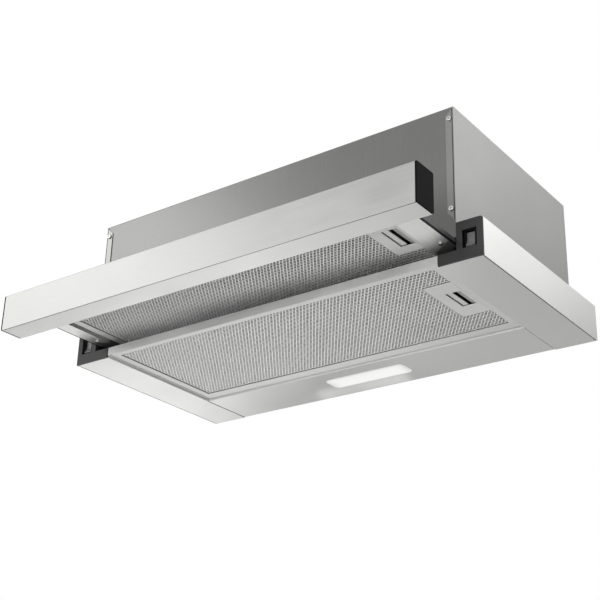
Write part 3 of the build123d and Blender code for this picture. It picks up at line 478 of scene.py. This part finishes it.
# faces of a node that wear another finish: those whose middle lies between two distances from the node's
# lowest corner, or from its highest one where the second is negative, and, where a way is given, that look
# that way
parted = {
    # painted shade and painted light: the seam, edge, flange and ramp faces below wear finishes that stand
    # in for light and shade
    "visorSeam": {"node": "visor_front", "finish": "seamPaintedShade", "y": (0.9, 2.0), "z": (0.1, 0.9)},
    "trimSeamLeft": {"node": "side_trim_left", "finish": "seamPaintedShade", "x": (0.9, 2.0), "z": (0.1, 0.9)},
    "trimSeamRight": {"node": "side_trim_right", "finish": "seamPaintedShade", "x": (-2.0, -0.9), "z": (0.1, 0.9)},
    "stripEdgeLeft": {"node": "side_trim_left", "finish": "edgePaintedLight", "x": (54.5, 55.5), "way": (1, 0, 0)},
    "panelEdge": {"node": "rear_light_panel", "finish": "edgePaintedLight", "y": (-0.1, 0.1), "way": (0, -1, 0)},
    "flangeLeft": {"node": "side_panel_left", "finish": "flangePaintedLight", "y": (-0.1, 0.1), "way": (0, -1, 0)},
    "flangeRight": {"node": "side_panel_right", "finish": "flangePaintedLight", "y": (-0.1, 0.1), "way": (0, -1, 0)},
    "flangeSeamLeft": {"node": "side_panel_left", "finish": "seamPaintedShade", "x": (0.9, 2.0), "y": (0.1, 0.6)},
    "flangeSeamRight": {
        "node": "side_panel_right", "finish": "seamPaintedShade", "x": (-2.0, -0.9), "y": (0.1, 0.6)},
    "fixedRamp": {"node": "filter_latch_plate", "finish": "rampPaintedShade", "way": (-0.3, 0, -0.954)},
    "drawnRamp": {"node": "visor_filter_latch_plate", "finish": "rampPaintedShade", "way": (-0.3, 0, -0.954)},
}
sameWay = 0.985  # cosine of 10 degrees, by which a face's normal may miss the way


# one truth value for each face of the mesh, from its middle and its normal
def chooseFaces(mesh, own):
    count = len(mesh.polygons)
    middles, normals = np.empty(count * 3), np.empty(count * 3)
    mesh.polygons.foreach_get("center", middles)
    mesh.polygons.foreach_get("normal", normals)
    middles, normals = middles.reshape(-1, 3) / mm, normals.reshape(-1, 3)
    low, high = boxInMm(own["node"])
    chosen = np.ones(count, dtype=bool)
    for axis, letter in enumerate("xyz"):
        if letter in own:
            start, end = own[letter]
            base = low[axis] if end > 0 else high[axis]
            chosen &= (middles[:, axis] > base + start) & (middles[:, axis] < base + end)
    if "way" in own:
        chosen &= normals @ np.array(own["way"]) > sameWay
    return chosen


for name, own in parted.items():
    mesh = nodes[own["node"]].data
    chosen = chooseFaces(mesh, own)
    slots = np.empty(len(chosen), dtype=np.int32)
    mesh.polygons.foreach_get("material_index", slots)
    slots[chosen] = len(mesh.materials)
    mesh.materials.append(made[own["finish"]])
    mesh.polygons.foreach_set("material_index", slots)
    print(name, int(chosen.sum()), "faces")


# a mesh in metres becomes a piece that rides on its body, in place of the nodes that it stands for
def addMesh(name, mesh, body, stoodFor):
    piece = bpy.data.objects.new(name, mesh)
    bpy.context.scene.collection.objects.link(piece)
    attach(piece, body)
    if stoodFor:
        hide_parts(*stoodFor)
    return piece


# a shape is its points, N by 3 in mm, and its faces, lists of indices into them
def addPiece(name, shape, body, finish, stoodFor):
    points, faces = shape
    mesh = bpy.data.meshes.new(name)
    mesh.from_pydata(points * mm, [], faces)
    mesh.update()
    mesh.materials.append(made[finish])
    addMesh(name, mesh, body, stoodFor)


# the four corners of a rectangle, anticlockwise from its lowest one
def oblong(startX, endX, startY, endY):
    return [(startX, startY), (endX, startY), (endX, endY), (startX, endY)]


# The outline, an N by 2 loop in the two other axes, at two stations joined by side walls. A loop that runs
# clockwise about the axis is turned round, so that the walls face outward.
def prism(outline, axis, start, end):
    loop = np.asarray(outline, dtype=float)
    after = np.roll(loop, -1, 0)
    area = (loop[:, 0] * after[:, 1] - after[:, 0] * loop[:, 1]).sum()
    clockwise = area > 0 if axis == "y" else area < 0  # x to z turns the other way about y
    if clockwise:
        loop = loop[::-1]
    count = len(loop)
    stations = np.repeat([start, end], count)
    points = np.insert(np.concatenate([loop, loop]), "xyz".index(axis), stations, axis=1)
    here = np.arange(count)
    beside = (here + 1) % count
    walls = np.stack([here, beside, beside + count, here + count], -1).tolist()
    return points, walls + [here[::-1].tolist(), (here + count).tolist()]


# the filters: a perforated face with staggered six-sided holes, cut out round the latch plate and a slit
# short of the frame's left and rear flanges, a black strip of painted shade in that slit, and behind the
# face two layers of expanded strands with a dense core between them
filters = {
    "fixed": {"prefix": "", "body": "fixed_filter", "pitchX": 4.8, "rowY": 3.2},
    "drawn": {"prefix": "visor_", "body": "drawer", "pitchX": 4.57, "rowY": 3.38},
    "open": 0.79,  # a hole's width over its cell's
    "lap": 2.0,  # of the solid face over the frame's flange
    "leastLap": 0.5,  # at the front edge, before that moves out to a lattice line
    "slit": 1.5,
    "feltRoom": 0.1,
    "plateRoom": (0.3, 2.2, 0.3),  # on the latch plate's left, in front of it and behind it
    "strandPitchX": 8.0,
    "strandRowY": 4.6,
    "strandOpen": 0.78,
    "strandThick": 0.6,
    "strandBack": 3.0,
    "strandRoom": (1.5, 2.0, 1.5),
    "coreThick": 0.5,
    "onLine": 0.001,  # a point this near to a line is on it
    "decimals": 3,  # corners that agree so far are one point
    "leastCell": 0.1,  # cut cells below this share of a whole one are left out
}


# The Voronoi cells of a staggered lattice, six corners each: (half, shoulder), (0, peak) and their mirror
# images, where half is half the pitch, shoulder = (row*row - half*half) / 2row and
# peak = (row*row + half*half) / 2row. The pitches are stretched a little so that lattice lines fall on the
# left and rear edges and on the notch, whose rear edge and the sheet's front edge move out to the next line,
# while the sheet's right edge moves in. Corners past an edge move onto it.
def latticeCells(lo, hi, notch, pitchX, rowY):
    left, front, rear = notch
    half = (left - lo[0]) / round(2 * (left - lo[0]) / pitchX)
    pitch = 2 * half
    tried = (hi[1] - front) / (round((hi[1] - front) / rowY) + np.arange(-1, 2))
    row = tried[np.argmin((front - rear) % tried)]  # the one that moves the notch's rear edge least
    rear = front + np.ceil((rear - front) / row) * row
    near = front - np.ceil((front - lo[1]) / row) * row
    right = left + np.floor((hi[0] - left) / half) * half
    shoulder, peak = (row ** 2 - half ** 2) / (2 * row), (row ** 2 + half ** 2) / (2 * row)
    corners = np.array([(half, -shoulder), (half, shoulder), (0, peak),
                        (-half, shoulder), (-half, -shoulder), (0, -peak)])
    columns = np.arange(int((right - lo[0]) / pitch) + 2)
    rows = np.arange(round((hi[1] - near) / row) + 1)
    rowAt, columnAt = np.meshgrid(rows, columns, indexing="ij")
    middles = np.stack([lo[0] + (columnAt + 0.5 * (rowAt % 2)) * pitch, near + rowAt * row], -1)
    middles = middles.reshape(-1, 1, 2)
    rings = np.clip(middles + corners, (lo[0], near), (right, hi[1]))
    x, y, middleX, middleY = rings[..., 0], rings[..., 1], middles[..., 0], middles[..., 1]
    slack = filters["onLine"]
    inside = (x > left + slack) & (y > front + slack) & (y < rear - slack)
    gone = (middleX > left + slack) & (middleY > front + slack) & (middleY < rear - slack)
    onLeft, onFront = np.abs(middleX - left) < slack, np.abs(middleY - front) < slack
    onRear = np.abs(middleY - rear) < slack
    rings = np.stack([
        np.where(inside & onLeft, left, x),
        np.where(inside & onFront, front, np.where(inside & onRear, rear, y))], -1)
    after = np.roll(rings, -1, 1)
    area = 0.5 * (rings[..., 0] * after[..., 1] - after[..., 0] * rings[..., 1]).sum(1)
    return rings[~gone[:, 0] & (area > filters["leastCell"] * pitch * row)]


# Each hole is its cell shrunk about its middle to the share. The band from cell to hole is faces at the base
# and the top, with walls between them round each hole and along the rim, where an edge has one cell only.
def punchedSheet(rings, share, base, top):
    middles = rings.mean(1, keepdims=True)
    holes = middles + share * (rings - middles)
    flat = np.concatenate([rings.reshape(-1, 2), holes.reshape(-1, 2)])
    corners, index = np.unique(np.round(flat, filters["decimals"]), axis=0, return_inverse=True)
    outer, inner = index.reshape(2, -1, 6)
    outerNext, innerNext = np.roll(outer, -1, 1), np.roll(inner, -1, 1)
    real = outer != outerNext
    outer, inner, outerNext, innerNext = outer[real], inner[real], outerNext[real], innerNext[real]
    count = len(corners)
    lower = np.stack([outer, inner, innerNext, outerNext], -1)
    upper = lower[:, ::-1] + count
    wall = np.stack([inner, inner + count, innerNext + count, innerNext], -1)
    edge = np.stack([outer, outerNext], -1)
    firstSeen, times = np.unique(np.sort(edge, 1), axis=0, return_index=True, return_counts=True)[1:]
    start, end = edge[firstSeen[times == 1]].T
    rimWall = np.stack([start, end, end + count, start + count], -1)
    points = np.concatenate([np.c_[corners, np.full(count, height)] for height in (base, top)])
    return points, np.concatenate([lower, upper, wall, rimWall])


# the left, front and rear edges of a notch that leaves room round a filter's latch plate
def plateNotch(own, room):
    low, high = boxInMm(own["prefix"] + "filter_latch_plate")
    return low[0] - room[0], low[1] - room[1], high[1] + room[2]


# the face covers the frame's opening, apart from the notch and the slit, and a black L of painted shade lies
# along the slit
def makeFace(name, own):
    face = own["prefix"] + "filter_face"
    lo, hi = boxInMm(face)
    inset = filters["lap"] + filters["slit"]
    cells = latticeCells(
        lo + [inset, filters["lap"] - filters["leastLap"], 0], hi - [0, inset, 0],
        plateNotch(own, filters["plateRoom"]), own["pitchX"], own["rowY"])
    points, quads = punchedSheet(cells, filters["open"], lo[2], hi[2])
    addPiece(name + "PerforatedFace", (points, quads.tolist()), own["body"],
             "faceAluminium", [face])
    print(name, "face", len(quads) * 2, "triangles")
    near, far = filters["lap"] + filters["feltRoom"], inset - filters["feltRoom"]
    outline = [(lo[0] + near, lo[1] + near), (lo[0] + far, lo[1] + near), (lo[0] + far, hi[1] - far),
               (hi[0] - near, hi[1] - far), (hi[0] - near, hi[1] - near), (lo[0] + near, hi[1] - near)]
    addPiece(name + "SlitShade", prism(outline, "z", lo[2], hi[2]), own["body"],
             "seamPaintedShade", [face])


# the strands are one sheet at the pack's lowest level and one at its highest, with the core half-way between
def makeMeshPack(name, own):
    mesh = own["prefix"] + "filter_mesh"
    lo, hi = boxInMm(mesh)
    inset = filters["lap"] + filters["strandBack"]
    lo, hi = lo + [inset, filters["strandRowY"], 0], hi - [0, inset, 0]
    notch = plateNotch(own, filters["strandRoom"])
    cells = latticeCells(lo, hi, notch, filters["strandPitchX"], filters["strandRowY"])
    thick = filters["strandThick"]
    points, quads = punchedSheet(cells, filters["strandOpen"], lo[2], lo[2] + thick)
    upperPoints, upperQuads = punchedSheet(cells, filters["strandOpen"], hi[2] - thick, hi[2])
    quads = np.concatenate([quads, upperQuads + len(points)])
    points = np.concatenate([points, upperPoints])
    addPiece(name + "MeshStrands", (points, quads.tolist()), own["body"],
             "meshStrandPaintedShade", [mesh])
    print(name, "strands", len(quads) * 2, "triangles")
    middle, half = (lo[2] + hi[2]) / 2, filters["coreThick"] / 2
    left, front, rear = notch
    outline = [(lo[0], lo[1]), (hi[0], lo[1]), (hi[0], front), (left, front), (left, rear), (hi[0], rear),
               (hi[0], hi[1]), (lo[0], hi[1])]
    addPiece(name + "MeshCore", prism(outline, "z", middle - half, middle + half), own["body"],
             "expandedFoil", [mesh])


for name in ("fixed", "drawn"):
    makeFace(name, filters[name])
    makeMeshPack(name, filters[name])


# the latch sliders: a grey finger tab with soft edges, on a slide and bolt in black as painted shade of the
# slot they run in
latches = {
    "fixedLatch": {"node": "filter_latch", "body": "fixed_latch"},
    "drawnLatch": {"node": "visor_filter_latch", "body": "drawer_latch"},
    "tabWidth": 7.2,
    "tabThick": 1.2,
    "tabGap": 0.5,
    "tabRound": 0.4,
    "roundSteps": 4,
    "endTurn": 0.9,  # share of a right angle that the rounding of an end turns through
    "stemWidth": 3.0,
    "boltHalf": 5.0,
    "boltThick": 1.5,
}


# A rounded rectangle in x and z, carried along y. Towards each end it shrinks by radius(1 - cos a) while y
# moves by radius(1 - sin a), so the ends are rounded as the long edges are; a stops short of a right angle.
def softBar(lo, hi, radius, steps):
    lo, hi = np.asarray(lo, dtype=float), np.asarray(hi, dtype=float)
    quarter = np.linspace(0.0, np.pi / 2, steps + 1)
    around = np.concatenate([quarter + corner * np.pi / 2 for corner in range(4)])
    sideX = np.repeat([1.0, -1.0, -1.0, 1.0], steps + 1)
    sideZ = np.repeat([1.0, 1.0, -1.0, -1.0], steps + 1)
    middle, half = (lo + hi) / 2, (hi - lo) / 2
    bend = latches["endTurn"] * quarter
    shrink = np.concatenate([np.cos(bend[::-1]), np.cos(bend)])
    setBack = radius * (1 - np.sin(bend))
    place = np.concatenate([lo[1] + setBack[::-1], hi[1] - setBack])
    x = middle[0] + sideX * (half[0] - radius) + radius * shrink[:, None] * np.cos(around)
    z = middle[2] + sideZ * (half[2] - radius) + radius * shrink[:, None] * np.sin(around)
    points = np.stack([x, np.broadcast_to(place[:, None], x.shape), z], -1).reshape(-1, 3)
    rings, count = len(place), len(around)
    ring, here = np.meshgrid(np.arange(rings - 1) * count, np.arange(count), indexing="ij")
    beside = (here + 1) % count
    quads = np.stack([ring + here, ring + count + here, ring + count + beside, ring + beside], -1)
    first = np.arange(count)
    last = first[::-1] + (rings - 1) * count
    return points, quads.reshape(-1, 4).tolist() + [first.tolist(), last.tolist()]


for name in ("fixedLatch", "drawnLatch"):
    own = latches[name]
    lo, hi = boxInMm(own["node"])
    gap = latches["tabGap"]
    top = lo[2] + latches["tabThick"]
    tab = softBar([lo[0] + gap, lo[1], lo[2]], [lo[0] + latches["tabWidth"], hi[1] - gap, top],
                  latches["tabRound"], latches["roundSteps"])
    addPiece(name + "Tab", tab, own["body"], "latchGrey", [own["node"]])
    stem, low = lo[0] + latches["stemWidth"], hi[2] - latches["boltThick"]
    outline = [(lo[0], top), (stem, top), (stem, low), (hi[0], low), (hi[0], hi[2]), (lo[0], hi[2])]
    centre = (lo[1] + hi[1]) / 2
    bolt = prism(outline, "y", centre - latches["boltHalf"], centre + latches["boltHalf"])
    # the slide and bolt are black as painted shade of the latch's slot
    addPiece(name + "Bolt", bolt, own["body"], "switchBlack", [own["node"]])
    print(name, "tab and bolt")


# the glides: a grey bar with a black lip below it, on the outside of each arm
glides = {
    "node": "visor_glides",
    "body": "drawer",
    "thick": 1.5,
    "lip": 2.2,
}
lo, hi = boxInMm(glides["node"])
split = lo[2] + glides["lip"]
for side, start in (("Left", lo[0]), ("Right", hi[0] - glides["thick"])):
    outline = oblong(start, start + glides["thick"], lo[1], hi[1])
    lip, bar = prism(outline, "z", lo[2], split), prism(outline, "z", split, hi[2])
    addPiece("glideLip" + side, lip, glides["body"], "switchBlack", [glides["node"]])
    addPiece("glideBar" + side, bar, glides["body"], "glideGrey", [glides["node"]])
print("glides set")


# the seams at both ends of the light panel: a black strip of painted shade, laid over the gap at the left
# end and in the gap at the right end; across is measured from the panel's end and up from its underside
seams = {
    "node": "rear_light_panel",
    "panelSeamLeft": {"end": 0, "across": (-0.95, 0.45), "up": (-0.12, -0.02)},
    "panelSeamRight": {"end": 1, "across": (0.05, 0.45), "up": (0.05, 1.05)},
}
ends = boxInMm(seams["node"])
lo, hi = ends
for name in ("panelSeamLeft", "panelSeamRight"):
    own = seams[name]
    start, end = ends[own["end"]][0] + np.array(own["across"])
    base, top = lo[2] + np.array(own["up"])
    shadeStrip = prism(oblong(start, end, lo[1], hi[1]), "z", base, top)
    addPiece(name, shadeStrip, "hood", "seamPaintedShade", [])
print("seams set")


# the latch springs: the solid's own leaf, with its doubled points merged
springs = {
    "fixedSpring": {"node": "filter_latch_spring", "body": "fixed_filter", "joint": "filter_latch_slide"},
    "drawnSpring": {"node": "visor_filter_latch_spring", "body": "drawer", "joint": "drawer_latch_slide"},
    "travel": 6.0,
    "merge": 0.001,
}
for name in ("fixedSpring", "drawnSpring"):
    own = springs[name]
    mesh = nodes[own["node"]].data.copy()
    leaf = bmesh.new()
    leaf.from_mesh(mesh)
    bmesh.ops.remove_doubles(leaf, verts=leaf.verts, dist=springs["merge"] * mm)
    leaf.to_mesh(mesh)
    leaf.free()
    piece = addMesh(name, mesh, own["body"], [own["node"]])
    lo, hi = boxInMm(own["node"])
    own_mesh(piece)
print("springs set")


# floor, lamps and backdrop; a lamp is a disc, or a rectangle where it has a depth, and points at the hood
# unless it has an aim of its own; lensSpill is the light that the lens throws on the panel beside it
studio = {
    "floorHeight": -1.0,
    "floorHalf": 6.0,
    "floorLook": {"dark": "#dcdcdb", "light": "#e2e2e1", "rough": 0.7, "grain": 6.0, "relief": 0.02},
    "backdrop": "#ffffff",
    "ambient": 0.4,  # the backdrop's strength as light, against 1 where it is seen or mirrored
    "aim": (0.0, -0.05, -0.12),
    "lamps": {
        "leftFront": {"at": (-1.5, -1.4, 0.3), "size": 1.4, "power": 6.0},
        "leftFrontHigh": {"at": (-1.45, -1.25, 0.8), "size": 0.5, "power": 0.64},
        "leftFrontMid": {"at": (-1.2, -1.3, 0.9), "size": 0.5, "power": 0.45},
        "frontLow": {"at": (0.3, -1.7, -0.5), "size": 1.0, "power": 21.0},
        "rightBack": {"at": (0.74, 0.62, 0.32), "size": 0.5, "power": 0.83},
        "rightBackHigh": {"at": (0.95, 0.75, 0.75), "size": 0.6, "power": 2.35},
        "belowLeft": {"at": (-1.05, 0.74, -0.64), "size": 0.8, "power": 0.83},
        "belowLeftFar": {"at": (-1.8, 1.1, -0.7), "size": 1.2, "power": 4.7},
        "belowLeftMiddle": {"at": (-0.7, 0.55, -0.75), "size": 0.5, "power": 0.57},
        "belowRight": {"at": (-0.18, 0.97, -0.74), "size": 0.8, "power": 1.06},
        "belowMiddle": {"at": (-0.2, 0.3, -0.6), "size": 0.4, "power": 0.37},
        "lensSpill": {"at": (-0.0435, 0.146, -0.205), "aim": (-0.0435, 0.145, -0.193), "size": 0.145,
                      "depth": 0.03, "power": 0.0095},
    },
}


# one square below the hood
def makeFloor(own):
    half = own["floorHalf"]
    mesh = bpy.data.meshes.new("floor")
    corners = [(x, y, own["floorHeight"]) for x, y in oblong(-half, half, -half, half)]
    mesh.from_pydata(corners, [], [(0, 1, 2, 3)])
    mesh.materials.append(grainedSkin("paleFloor", own["floorLook"]))
    floor = bpy.data.objects.new("floor", mesh)
    bpy.context.scene.collection.objects.link(floor)


# a lamp shines along its own -z: its axes are a level side, an up square to it, and the way from its aim
def hangLamps(own):
    for name, lamp in own["lamps"].items():
        data = bpy.data.lights.new(name, "AREA")
        data.shape, data.size, data.energy = "DISK", lamp["size"], lamp["power"]
        if "depth" in lamp:
            data.shape, data.size_y = "RECTANGLE", lamp["depth"]
        light = bpy.data.objects.new(name, data)
        light.visible_camera = False
        bpy.context.scene.collection.objects.link(light)
        back = np.array(lamp["at"]) - np.array(lamp.get("aim", own["aim"]))
        back /= np.linalg.norm(back)
        side = np.cross([0.0, 0.0, 1.0], back)
        side /= np.linalg.norm(side)
        turn = np.array([side, np.cross(back, side), back]).T
        light.matrix_world = Matrix.Translation(lamp["at"]) @ Matrix(turn.tolist()).to_4x4()


# white to the camera, in reflections and through glass, and a weaker light on everything else
def makeBackdrop(own):
    world = bpy.data.worlds.new("studio")
    bpy.context.scene.world = world
    world.use_nodes = True
    tree = world.node_tree
    tree.nodes.clear()
    path = put(tree, "ShaderNodeLightPath")
    seen = path.outputs["Is Camera Ray"]
    for ray in ("Is Glossy Ray", "Is Transmission Ray"):
        seen = put(tree, "ShaderNodeMath", {0: seen, 1: path.outputs[ray]}, operation="MAXIMUM").outputs[0]
    level = put(tree, "ShaderNodeMapRange", {"Value": seen, "To Min": own["ambient"], "To Max": 1.0})
    sky = put(tree, "ShaderNodeBackground", {
        "Color": linear(own["backdrop"]), "Strength": level.outputs["Result"]})
    put(tree, "ShaderNodeOutputWorld", {"Surface": sky.outputs["Background"]})


makeFloor(studio)
hangLamps(studio)
makeBackdrop(studio)
print("studio set")
